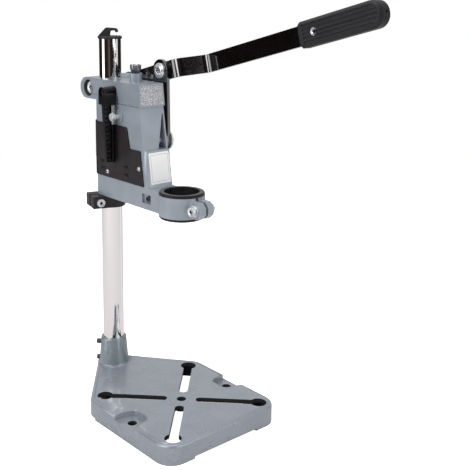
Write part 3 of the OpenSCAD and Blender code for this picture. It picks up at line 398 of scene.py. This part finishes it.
def new_finish(name, dark, light, smooth, rough, metallic=0.0, coat=0.0, fine=900.0, coarse=60.0,
               bump=0.1, depth=0.2, stretch=(1, 1, 1)):
    # Two tones and two degrees of gloss in patches, with a fine relief of a depth in millimetres
    material = bpy.data.materials.new(name)
    material.use_nodes = True
    tree = material.node_tree
    shader = shader_of(material)
    shader.inputs["Metallic"].default_value = metallic
    shader.inputs["Coat Weight"].default_value = coat
    shader.inputs["Coat Roughness"].default_value = COAT_ROUGHNESS
    coord = tree.nodes.new("ShaderNodeTexCoord")
    place = tree.nodes.new("ShaderNodeMapping")
    place.inputs["Scale"].default_value = stretch
    grain = tree.nodes.new("ShaderNodeGroup")
    grain.node_tree = GRAIN
    grain.inputs["Fine"].default_value = fine
    grain.inputs["Coarse"].default_value = coarse
    tones = tree.nodes.new("ShaderNodeGroup")
    tones.node_tree = TONES
    tones.inputs["Dark"].default_value = (*dark, 1)
    tones.inputs["Light"].default_value = (*light, 1)
    tones.inputs["Smooth"].default_value = smooth
    tones.inputs["Rough"].default_value = rough
    relief = tree.nodes.new("ShaderNodeBump")
    relief.inputs["Strength"].default_value = bump
    relief.inputs["Distance"].default_value = depth * MM
    link = tree.links.new
    link(coord.outputs["Object"], place.inputs["Vector"])
    link(place.outputs[0], grain.inputs["Vector"])
    link(grain.outputs["Patches"], tones.inputs["Mask"])
    link(grain.outputs["Height"], relief.inputs["Height"])
    link(relief.outputs[0], shader.inputs["Normal"])
    link(tones.outputs["Color"], shader.inputs["Base Color"])
    link(tones.outputs["Roughness"], shader.inputs["Roughness"])
    return material


def tint(material, mask, colour, rough=None):
    # Another colour, and another gloss if one is given, where the mask is 1
    tree = material.node_tree
    inputs = shader_of(material).inputs
    plain = inputs["Base Color"].links[0].from_socket
    tree.links.new(mixed(tree, mask, plain, (*colour, 1)), inputs["Base Color"])
    if rough is not None:
        gloss = inputs["Roughness"].links[0].from_socket
        tree.links.new(mixed(tree, mask, gloss, rough, kind="FLOAT"), inputs["Roughness"])


def add_relief(material, height, strength, depth):
    # One more relief on top of the finish's own, its depth in millimetres
    tree = material.node_tree
    normal = shader_of(material).inputs["Normal"]
    relief = tree.nodes.new("ShaderNodeBump")
    relief.inputs["Strength"].default_value = strength
    relief.inputs["Distance"].default_value = depth * MM
    tree.links.new(height, relief.inputs["Height"])
    tree.links.new(normal.links[0].from_socket, relief.inputs["Normal"])
    tree.links.new(relief.outputs[0], normal)


# Paints, with places in millimetres

CAST_GRAIN = {"fine": 1400.0, "coarse": 45.0, "bump": 0.25, "depth": 0.1}
BASE_GRAIN = {"fine": 1100.0, "coarse": 40.0, "bump": 0.25, "depth": 0.15}
MATT = 0.8
# The spring cavity in the carriage, where shade is painted
CAVITY_SHADE_LOW, CAVITY_SHADE_HIGH = (-111.5, -14, 239), (-57.5, 13.2, 337.5)
# The sunk seat of the clamp bolt in the head, where shade is painted
BOLT_SEAT_SHADE_LOW, BOLT_SEAT_SHADE_HIGH = (-161.5, -16.2, 346), (-141.5, -9, 368)
# The head's front face inside its plain border
HEAD_LOW, HEAD_HIGH = corners("head_block")
FACE_LEAN = 3.6
BORDER_SIDE = 1.1
BORDER_FOOT, BORDER_TOP = 1.5, 22.1
HAMMERED_LOW = (HEAD_HIGH.x - FACE_LEAN, HEAD_LOW.y + BORDER_SIDE, HEAD_LOW.z + BORDER_FOOT)
HAMMERED_HIGH = (None, -HEAD_LOW.y - BORDER_SIDE, HEAD_LOW.z + BORDER_TOP)
HAMMER_SCALE = 850.0
DOT_EDGE, DOT_MIDDLE = 0.66, 0.18
HAMMER_STRENGTH, HAMMER_DEPTH = 0.9, 0.7
# The face's grey, and a painted highlight on the tops of its raised grains
PIT_TONE, GRAIN_HIGHLIGHT_TONE = (0.30, 0.30, 0.33), (0.70, 0.71, 0.73)
# Grain heights over which the painted highlight fades in
HIGHLIGHT_FROM, HIGHLIGHT_TO = 0.1, 0.6
# The column socket of the base, painted darker as shade
SOCKET_SHADE_LOW, SOCKET_SHADE_HIGH = (None, None, 25), (-100, None, None)
SOCKET_SHADE_SOFT = 3.0


def grey_paint(name):
    # Silky grey of the carriage and the head
    return new_finish(name, dark=(0.245, 0.275, 0.315), light=(0.275, 0.31, 0.355), smooth=0.30,
                      rough=0.38, metallic=0.2, coat=0.25, **CAST_GRAIN)


def carriage_paint_and_shade():
    # Painted shade: the spring cavity is tinted near black and matt
    paint = grey_paint("grey_cast_paint_and_shade")
    cavity = box_mask(paint.node_tree, CAVITY_SHADE_LOW, CAVITY_SHADE_HIGH)
    tint(paint, cavity, colour=(0.01, 0.01, 0.011), rough=MATT)
    return paint


def head_paint_shade_and_highlight():
    # Painted shade: the clamp bolt's sunk seat is tinted dark
    paint = grey_paint("grey_head_paint_shade_and_highlight")
    hammer_face_with_highlight(paint)
    bolt_seat_shade = box_mask(paint.node_tree, BOLT_SEAT_SHADE_LOW, BOLT_SEAT_SHADE_HIGH)
    tint(paint, bolt_seat_shade, colour=(0.06, 0.065, 0.07))
    return paint


def hammer_face_with_highlight(paint):
    # Raised grains with pits between them, the face in grey and the grain tops painted pale as
    # highlights
    tree = paint.node_tree
    inside = box_mask(tree, HAMMERED_LOW, HAMMERED_HIGH)
    coord = tree.nodes.new("ShaderNodeTexCoord")
    cells = tree.nodes.new("ShaderNodeTexVoronoi")
    cells.inputs["Scale"].default_value = HAMMER_SCALE
    tree.links.new(coord.outputs["Object"], cells.inputs["Vector"])
    height = product(tree, step(tree, cells.outputs["Distance"], DOT_EDGE, DOT_MIDDLE), inside)
    add_relief(paint, height, HAMMER_STRENGTH, HAMMER_DEPTH)
    tint(paint, inside, PIT_TONE)
    tint(paint, step(tree, height, HIGHLIGHT_FROM, HIGHLIGHT_TO), GRAIN_HIGHLIGHT_TONE)


def base_paint_and_shade():
    # A little greener and darker on the column socket: painted shade that stands in for the dark room
    # its cone mirrors
    paint = new_finish("grey_base_paint_and_shade", dark=(0.24, 0.262, 0.30), light=(0.268, 0.294, 0.335),
                       smooth=0.24, rough=0.30, metallic=0.25, coat=0.25, **BASE_GRAIN)
    socket = box_mask(paint.node_tree, SOCKET_SHADE_LOW, SOCKET_SHADE_HIGH, soft=SOCKET_SHADE_SOFT)
    tint(paint, socket, colour=(0.20, 0.235, 0.26))
    return paint


def inside_shade():
    # The base's hollow and the walls of its holes
    return new_finish("shaded_inside", dark=(0.008, 0.008, 0.009), light=(0.010, 0.010, 0.011),
                      smooth=0.85, rough=0.95)


# Metals

SCREW_GRAIN = {"fine": 1500.0, "coarse": 200.0, "bump": 0.1, "depth": 0.1}
THREAD_PITCH = 1.0
# The lock screw's thread shows between its head and the casting
THREAD_START, THREAD_SHOWN = 3.6, 6.2
THREAD_LOW = corners("lock_screw")[0].y + THREAD_START
THREAD_HIGH = THREAD_LOW + THREAD_SHOWN
THREAD_END = 0.2
THREAD_STRENGTH, THREAD_DEPTH = 1.0, 0.4
# The depth rod is black from its foot up
BLACK_LENGTH = 43
BLACK_BELOW = corners("depth_rod")[0].z + BLACK_LENGTH
LACQUER_IOR = 2.2


def polished_tube():
    return new_finish("polished_tube", dark=(0.86, 0.85, 0.85), light=(0.90, 0.89, 0.89), smooth=0.04,
                      rough=0.07, metallic=1.0, fine=500.0, coarse=30.0, bump=0.02,
                      stretch=(1, 1, 0.08))


def zinc_plate():
    return new_finish("zinc_plate", dark=(0.66, 0.68, 0.71), light=(0.80, 0.82, 0.85), smooth=0.30,
                      rough=0.42, metallic=0.85, **SCREW_GRAIN)


def bright_steel():
    return new_finish("bright_steel", dark=(0.30, 0.31, 0.33), light=(0.42, 0.43, 0.45), smooth=0.18,
                      rough=0.26, metallic=1.0, **SCREW_GRAIN)


def socket_shade():
    return new_finish("socket_shade", dark=(0.02, 0.02, 0.023), light=(0.035, 0.035, 0.04), smooth=0.5,
                      rough=0.6, metallic=0.6)


def dark_screw_and_socket_shade():
    # Dark screws; on the socket set screws the dark all over is painted shade of their sunk sockets
    return new_finish("dark_screw_and_socket_shade", dark=(0.05, 0.05, 0.055), light=(0.08, 0.08, 0.085),
                      smooth=0.3, rough=0.45, metallic=0.8, fine=1500.0, coarse=200.0, bump=0.15,
                      depth=0.1)


def threaded_zinc():
    # The lock screw, with its thread as fine bands along Y
    zinc = new_finish("zinc_plate_threaded", dark=(0.70, 0.72, 0.75), light=(0.84, 0.86, 0.88),
                      smooth=0.35, rough=0.45, metallic=0.7, **SCREW_GRAIN)
    tree = zinc.node_tree
    _, place = split_place(tree, "Object")
    turn = tree.nodes.new("ShaderNodeMath")
    turn.operation = "MULTIPLY"
    turn.inputs[1].default_value = 2 * math.pi / (THREAD_PITCH * MM)
    tree.links.new(place["Y"], turn.inputs[0])
    wave = tree.nodes.new("ShaderNodeMath")
    wave.operation = "SINE"
    tree.links.new(turn.outputs[0], wave.inputs[0])
    start = step(tree, place["Y"], THREAD_LOW * MM, (THREAD_LOW + THREAD_END) * MM)
    end = step(tree, place["Y"], THREAD_HIGH * MM, (THREAD_HIGH - THREAD_END) * MM)
    height = product(tree, wave.outputs[0], product(tree, start, end))
    add_relief(zinc, height, THREAD_STRENGTH, THREAD_DEPTH)
    return zinc


def part_blackened_rod():
    rod = new_finish("part_blackened_rod", dark=(0.52, 0.53, 0.54), light=(0.68, 0.69, 0.70),
                     smooth=0.16, rough=0.26, metallic=1.0, **SCREW_GRAIN)
    lower = box_mask(rod.node_tree, (None, None, None), (None, None, BLACK_BELOW))
    tint(rod, lower, colour=(0.012, 0.012, 0.014))
    return rod


def spring_wire():
    return new_finish("spring_wire", dark=(0.30, 0.30, 0.31), light=(0.42, 0.42, 0.43), smooth=0.25,
                      rough=0.4, metallic=1.0)


def black_lacquer():
    # Deep gloss of the lever and the link
    lacquer = new_finish("black_lacquer", dark=(0.001, 0.0008, 0.001), light=(0.002, 0.0015, 0.002),
                         smooth=0.05, rough=0.09, coat=0.5, fine=700.0, coarse=45.0, bump=0.03,
                         depth=0.1)
    shader_of(lacquer).inputs["IOR"].default_value = LACQUER_IOR
    return lacquer


# Mouldings

MOULD_GRAIN = {"fine": 1500.0, "coarse": 80.0, "bump": 0.3, "depth": 0.12}
MOULD_SHINE = 0.35
DULL_SHINE = 0.25
# Between the cover's outer face and the floors of its sunk arrows
FACE_DEPTH = 0.35
# Behind this the cover's sunk arrows and sides take painted shade
COVER_SHADE_FROM = corners("cavity_cover")[0].y + FACE_DEPTH


def moulded(name, dark, light, smooth, rough, shine=MOULD_SHINE, **grain):
    finish = new_finish(name, dark, light, smooth, rough, **grain)
    shader_of(finish).inputs["Specular IOR Level"].default_value = shine
    return finish


def ribbed_grip():
    return moulded("grip_moulding", dark=(0.006, 0.005, 0.007), light=(0.010, 0.009, 0.011),
                   smooth=0.42, rough=0.55, fine=2200.0, coarse=90.0, bump=0.5, depth=0.15)


def black_moulding():
    # The stop ring and the column's cap
    return moulded("black_moulding", dark=(0.013, 0.010, 0.012), light=(0.018, 0.014, 0.017),
                   smooth=0.40, rough=0.5, **MOULD_GRAIN)


def black_depth_stop():
    return moulded("black_depth_stop", dark=(0.003, 0.003, 0.004), light=(0.006, 0.005, 0.006),
                   smooth=0.32, rough=0.42, shine=DULL_SHINE, **MOULD_GRAIN)


def black_bush():
    return moulded("black_bush", dark=(0.004, 0.004, 0.004), light=(0.008, 0.008, 0.008), smooth=0.3,
                   rough=0.4, fine=1500.0, coarse=80.0, bump=0.2, depth=0.1)


def black_cover_and_shade():
    # Painted shade: darker and matt in its sunk arrows and on its sides than on its face
    cover = moulded("black_cover_and_shade", dark=(0.010, 0.007, 0.009), light=(0.014, 0.010, 0.012), smooth=0.40,
                    rough=0.5, **MOULD_GRAIN)
    sunk = box_mask(cover.node_tree, (None, COVER_SHADE_FROM, None), (None, None, None))
    tint(cover, sunk, colour=(0.001, 0.001, 0.001), rough=MATT)
    return cover


# Plate and lines

def bare_plate():
    return new_finish("bare_plate", dark=(0.80, 0.80, 0.80), light=(0.85, 0.85, 0.85), smooth=0.4,
                      rough=0.5, fine=600.0, coarse=40.0, bump=0.03)


def frame_print():
    return new_finish("frame_print", dark=(0.30, 0.31, 0.32), light=(0.36, 0.37, 0.38), smooth=0.5,
                      rough=0.6)


def scale_print():
    return new_finish("scale_print", dark=(0.035, 0.035, 0.04), light=(0.05, 0.05, 0.055), smooth=0.5,
                      rough=0.6)


# Pieces, with sizes and places in millimetres

SAME_PLACE = 0.001
FLAT_ANGLE = math.radians(0.6)
SMOOTH_BELOW = 32.0
ROUND_STEPS = 2
PLATE_TOP = 22.0


def merged_copy(node):
    # The node's loose triangles, joined to one shape
    shape = bmesh.new()
    shape.from_mesh(nodes[node].data)
    bmesh.ops.remove_doubles(shape, verts=shape.verts[:], dist=SAME_PLACE * MM)
    return shape


def bare_copy(node):
    # The node's solid with its triangles merged to faces
    shape = merged_copy(node)
    bmesh.ops.dissolve_limit(shape, angle_limit=FLAT_ANGLE, verts=shape.verts[:], edges=shape.edges[:],
                             delimit={"NORMAL"})
    return shape


def add_piece(name, shape, body, material, smooth=SMOOTH_BELOW, second=None):
    mesh = bpy.data.meshes.new(name)
    shape.to_mesh(mesh)
    shape.free()
    mesh.shade_smooth()
    mesh.set_sharp_from_angle(angle=math.radians(smooth))
    mesh.materials.append(material)
    if second:
        mesh.materials.append(second)
    piece = bpy.data.objects.new(name, mesh)
    bpy.context.scene.collection.objects.link(piece)
    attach(piece, body)
    return piece


# Up to this height the base's outer wall stands upright
SIDE_WALL_TOP = 17.5
TOP_MARGIN = 0.05
UPWARD = 0.5
OUTER_WALL = 0.9
# The two sunk pockets: half their length along X, and where they start along Y and Z
POCKET_HALF, POCKET_SIDE, POCKET_FLOOR = 20, 50, 15.9


def mark_inside(shape):
    # The base's hollow and the walls of its holes take the second material
    outline = [v.co.xy for v in shape.verts if v.co.z < SIDE_WALL_TOP * MM]
    ring = [outline[i] for i in convex_hull_2d(outline)]
    sides = list(zip(ring, ring[1:] + ring[:1]))
    for face in shape.faces:
        middle = face.calc_center_median()
        if middle.z > (PLATE_TOP - TOP_MARGIN) * MM or face.normal.z > UPWARD:
            continue
        near = min(abs((b - a).cross(middle.xy - a)) / (b - a).length for a, b in sides)
        in_pocket = (abs(middle.x) < POCKET_HALF * MM and abs(middle.y) > POCKET_SIDE * MM
                     and middle.z > POCKET_FLOOR * MM)
        if near > OUTER_WALL * MM and not in_pocket:
            face.material_index = 1


def ease_edges(node, body, material, width, angle=SMOOTH_BELOW, inside=None):
    # The casting or moulding with its edges rounded as they come from the mould
    shape = bare_copy(node)
    if inside:
        mark_inside(shape)
    piece = add_piece(node + "_eased", shape, body, material, smooth=angle, second=inside)
    rounding = piece.modifiers.new("rounded_edges", "BEVEL")
    rounding.width = width * MM
    rounding.segments = ROUND_STEPS
    rounding.limit_method = "ANGLE"
    rounding.angle_limit = math.radians(angle)
    rounding.use_clamp_overlap = True
    rounding.harden_normals = True
    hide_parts(node)


def finish_node(node, material):
    mesh = nodes[node].data
    mesh.materials.clear()
    mesh.materials.append(material)


RAY_COUNT = 8
RAY_SPREAD = 1.2
RAY_LIFT = 0.02
RAY_REACH = 6
HITS_WHEN_SUNK = 5


def shade_socket(node, body, material, shade):
    # The screw's own solid with its socket dark: rays from a sunk face meet the screw again
    shape = merged_copy(node)
    tree = BVHTree.FromBMesh(shape)
    turns = [i * 2 * math.pi / RAY_COUNT for i in range(RAY_COUNT)]
    for face in shape.faces:
        side = face.normal.orthogonal().normalized() * RAY_SPREAD
        rays = [(face.normal + Quaternion(face.normal, turn) @ side).normalized() for turn in turns]
        start = face.calc_center_median() + face.normal * RAY_LIFT * MM
        hits = [ray for ray in rays if tree.ray_cast(start, ray, RAY_REACH * MM)[0] is not None]
        if len(hits) >= HITS_WHEN_SUNK:
            face.material_index = 1
    piece = add_piece(node + "_shaded", shape, body, material, second=shade)
    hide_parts(node)


# The carriage's lower front leans back on its way from the arm up to the ledge
FRONT_FOOT = Vector((-36.4, 1.3, 257.8))
FRONT_SETBACK, FRONT_HEIGHT = 6.0, 40.0
LABEL_FROM, LABEL_TO = 3.6, 37.6
LABEL_WIDTH = 27.5
LABEL_THICKNESS = 0.5
LABEL_LIFT = 0.1
LABEL_CORNER = 1.4
CORNER_STEPS = 4
LINE_WIDTH = 0.35
LINE_THICKNESS = 0.06
LINE_LIFT = 0.35
LINE_SIDE = 11.6
LINE_MARGIN = 2.5


def add_block(shape, size, place=(0, 0, 0)):
    made = bmesh.ops.create_cube(shape, size=1.0)["verts"]
    bmesh.ops.scale(shape, vec=Vector(size) * MM, verts=made)
    bmesh.ops.translate(shape, vec=Vector(place) * MM, verts=made)


def add_label(material, border):
    # Bare plate on the lower front, with a thin frame line and nothing in it
    way = Vector((-FRONT_SETBACK, 0, FRONT_HEIGHT)) / FRONT_HEIGHT
    low = FRONT_FOOT + way * LABEL_FROM
    high = FRONT_FOOT + way * LABEL_TO
    length = (high - low).length
    up = (high - low).normalized()
    out = Vector((up.z, 0, -up.x))
    turn = Matrix((Vector((0, 1, 0)), up, out)).transposed().to_4x4()

    def seated(lift):
        return Matrix.Translation(((low + high) / 2 + out * lift) * MM) @ turn

    shape = bmesh.new()
    add_block(shape, (LABEL_WIDTH, length, LABEL_THICKNESS))
    upright = [e for e in shape.edges
               if abs((e.verts[0].co - e.verts[1].co).z) > LABEL_THICKNESS * MM / 2]
    bmesh.ops.bevel(shape, geom=upright, offset=LABEL_CORNER * MM, segments=CORNER_STEPS, profile=0.5,
                    affect="EDGES", material=-1)
    bmesh.ops.transform(shape, matrix=seated(LABEL_LIFT), verts=shape.verts[:])
    bmesh.ops.recalc_face_normals(shape, faces=shape.faces[:])
    add_piece("bare_label", shape, "carriage", material)

    shape = bmesh.new()
    upright_line = (LINE_WIDTH, length - 2 * LINE_MARGIN, LINE_THICKNESS)
    level_line = (2 * LINE_SIDE + LINE_WIDTH, LINE_WIDTH, LINE_THICKNESS)
    for side in (-1, 1):
        add_block(shape, upright_line, (side * LINE_SIDE, 0, 0))
        add_block(shape, level_line, (0, side * (length / 2 - LINE_MARGIN), 0))
    bmesh.ops.transform(shape, matrix=seated(LINE_LIFT), verts=shape.verts[:])
    add_piece("label_frame", shape, "carriage", border)


MARK_COUNT = 13
MARK_FIRST = 281.5
MARK_STEP = 5.0
MARK_SIZE = (0.3, 0.7)
MARK_LONG, MARK_SHORT = 4.4, 2.6
MARK_INSET = 1.0
# The scale's flat faces, and how its outer edge slants
SCALE_X = -98.2
SCALE_HALF = 1.97
SCALE_FOOT, SCALE_HEAD = corners("depth_stop")[0].z, 343.7
SCALE_EDGE, SCALE_SLANT = -29.2, -3.8


def add_scale_marks(material):
    # Graduations moulded on both flat faces of the depth scale
    shape = bmesh.new()
    for side in (-1, 1):
        for i in range(MARK_COUNT):
            z = MARK_FIRST + MARK_STEP * i
            edge = SCALE_EDGE + SCALE_SLANT * (z - SCALE_FOOT) / (SCALE_HEAD - SCALE_FOOT)
            length = MARK_LONG if i % 2 == 0 else MARK_SHORT
            add_block(shape, (MARK_SIZE[0], length, MARK_SIZE[1]),
                      (SCALE_X + side * SCALE_HALF, edge + MARK_INSET + length / 2, z))
    add_piece("scale_marks", shape, "head", material)


# Inward and up from the edge of the base's flat top: the bead's outer side, ridge and inner side
BEAD_SECTION = ((0.0, -0.1), (0.6, 0.6), (1.4, -0.1))
BEAD_SMOOTH = 80.0
FACING_UP = 0.99
LEVEL_WITHIN = 0.01


def outer_edge(shape):
    # The places of the flat top's outer edge, going round against the clock
    flat = {f for f in shape.faces if f.normal.z > FACING_UP
            and abs(f.calc_center_median().z - PLATE_TOP * MM) < LEVEL_WITHIN * MM}
    ways = {}
    for edge in shape.edges:
        if sum(f in flat for f in edge.link_faces) == 1:
            for a, b in (edge.verts, reversed(edge.verts)):
                ways.setdefault(a, []).append(b)
    start = max(ways, key=lambda v: v.co.x)
    loop = [start]
    ahead = ways[start][0]
    while ahead != start:
        loop.append(ahead)
        ahead = next(v for v in ways[ahead] if v != loop[-2])
    places = [v.co.copy() for v in loop]
    area = sum(a.x * b.y - b.x * a.y for a, b in zip(places, places[1:] + places[:1]))
    return places if area > 0 else places[::-1]


def add_rim_bead(material):
    # Fine raised line where the base's rounded edge meets its flat top
    source = bare_copy("base_casting")
    places = outer_edge(source)
    source.free()
    inward = []
    for before, here, after in zip(places[-1:] + places[:-1], places, places[1:] + places[:1]):
        along = (here - before).normalized() + (after - here).normalized()
        inward.append(Vector((-along.y, along.x, 0)).normalized())
    shape = bmesh.new()
    rings = []
    for across, up in BEAD_SECTION:
        row = [shape.verts.new(place + way * across * MM + Vector((0, 0, up * MM)))
               for place, way in zip(places, inward)]
        rings.append([shape.edges.new(pair) for pair in zip(row, row[1:] + row[:1])])
    for ring, following in zip(rings, rings[1:] + rings[:1]):
        bmesh.ops.bridge_loops(shape, edges=ring + following)
    bmesh.ops.recalc_face_normals(shape, faces=shape.faces[:])
    add_piece("rim_bead", shape, "base", material, smooth=BEAD_SMOOTH)


# The stand, group by group

def dress_castings(base_grey_and_shade):
    ease_edges("base_casting", "base", base_grey_and_shade, width=0.5, angle=40.0,
               inside=inside_shade())
    ease_edges("head_block", "head", head_paint_shade_and_highlight(), width=0.45)
    ease_edges("carriage_casting", "carriage", carriage_paint_and_shade(), width=0.4, angle=28.0)


def dress_mouldings_and_bars():
    moulding = black_moulding()
    lacquer = black_lacquer()
    ease_edges("cavity_cover", "carriage", black_cover_and_shade(), width=0.2)
    ease_edges("depth_stop", "head", black_depth_stop(), width=0.3)
    ease_edges("stop_ring", "ring", moulding, width=0.5)
    ease_edges("lever_bar", "lever", lacquer, width=0.5)
    ease_edges("link_bar", "link", lacquer, width=0.4)
    ease_edges("column_cap", "column", moulding, width=0.3)
    ease_edges("lever_grip", "lever", ribbed_grip(), width=0.2, angle=35.0)
    bush = black_bush()
    for node in ("collar_bush_upper", "collar_bush_lower"):
        finish_node(node, bush)


def dress_screws():
    zinc, steel, black, shade = zinc_plate(), bright_steel(), dark_screw_and_socket_shade(), socket_shade()
    for node in ("head_clamp_nut", "spring_plate", "rod_nut", "guide_rod", "collar_clamp_washer",
                 "collar_clamp_nut", "stop_ring_nut", "lever_pivot_bolt", "lower_pivot_bolt"):
        finish_node(node, zinc)
    for node, body in (("head_clamp_bolt", "head"), ("cover_screws", "carriage"),
                       ("collar_clamp_screw", "carriage"), ("stop_ring_screw", "ring"),
                       ("link_bolt", "lever")):
        shade_socket(node, body, zinc, shade)
    for node, body in (("grip_screw", "lever"), ("crown_nut", "head")):
        shade_socket(node, body, steel, shade)
    # The socket set screws are dark all over as painted shade of their sunk sockets; the arm and depth
    # stop screws take the same dark finish
    for node in ("socket_set_screws", "arm_set_screw", "depth_stop_screw"):
        finish_node(node, black)
    finish_node("lock_screw", threaded_zinc())


def dress_rods():
    finish_node("depth_rod", part_blackened_rod())
    finish_node("column_tube", polished_tube())
    finish_node("return_spring", spring_wire())


def dress_stand():
    base_grey_and_shade = base_paint_and_shade()
    dress_castings(base_grey_and_shade)
    dress_mouldings_and_bars()
    dress_screws()
    dress_rods()
    add_rim_bead(base_grey_and_shade)
    add_label(bare_plate(), frame_print())
    add_scale_marks(scale_print())


set_camera()
light_studio()
lay_floor()
dress_stand()
bpy.context.scene.view_settings.view_transform = "Standard"
